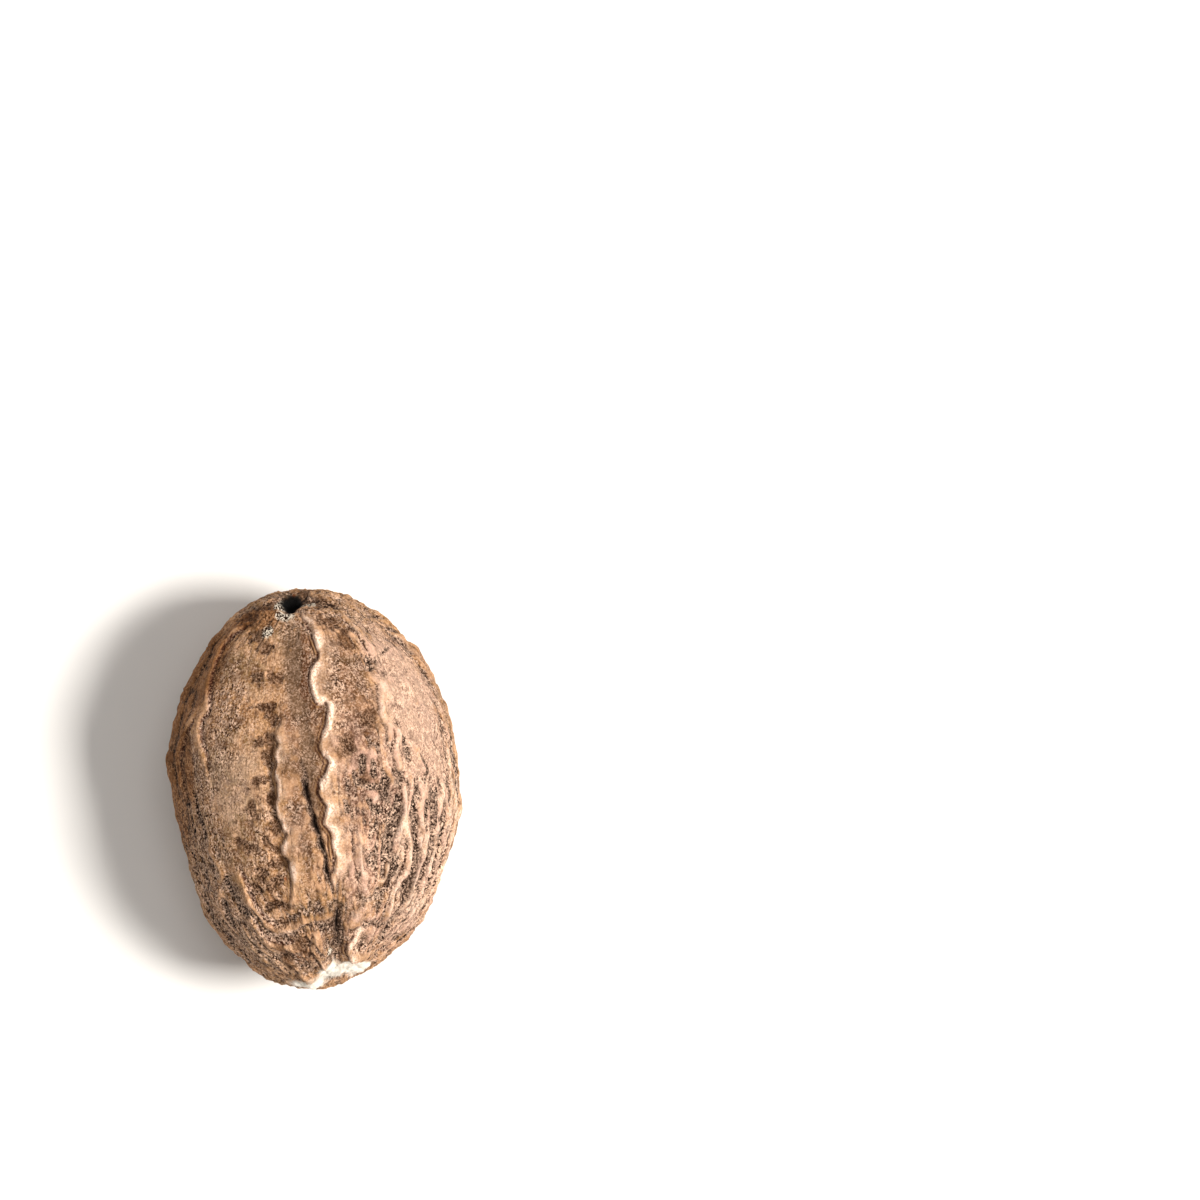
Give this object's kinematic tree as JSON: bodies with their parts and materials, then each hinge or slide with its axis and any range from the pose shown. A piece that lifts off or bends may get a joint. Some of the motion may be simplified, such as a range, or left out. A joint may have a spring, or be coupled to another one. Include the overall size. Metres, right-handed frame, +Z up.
{
  "type": "whole nutmeg",
  "caption": "Whole dried nutmeg: an ovoid wrinkled seed with a raphe groove and scalloped lip along the top, a dark chalaza pit at one end and a pale hilum scar at the other.",
  "frame": {"origin": "under the middle of the nutmeg, on the surface that it lies on", "axes": "+Y along the nutmeg to the chalaza, the dark pit; -Y to the hilum, the pale scar; +Z up through the raphe; +X to the right as seen from above with the chalaza ahead"},
  "size_m": [0.019, 0.026, 0.018],
  "materials": {
    "shell": "matt, dry and finely pored, mottled from dark brown to pinkish cream"
  },
  "bodies": {
    "root": {"nutmeg": "shell"}
  },
  "joints": []
}
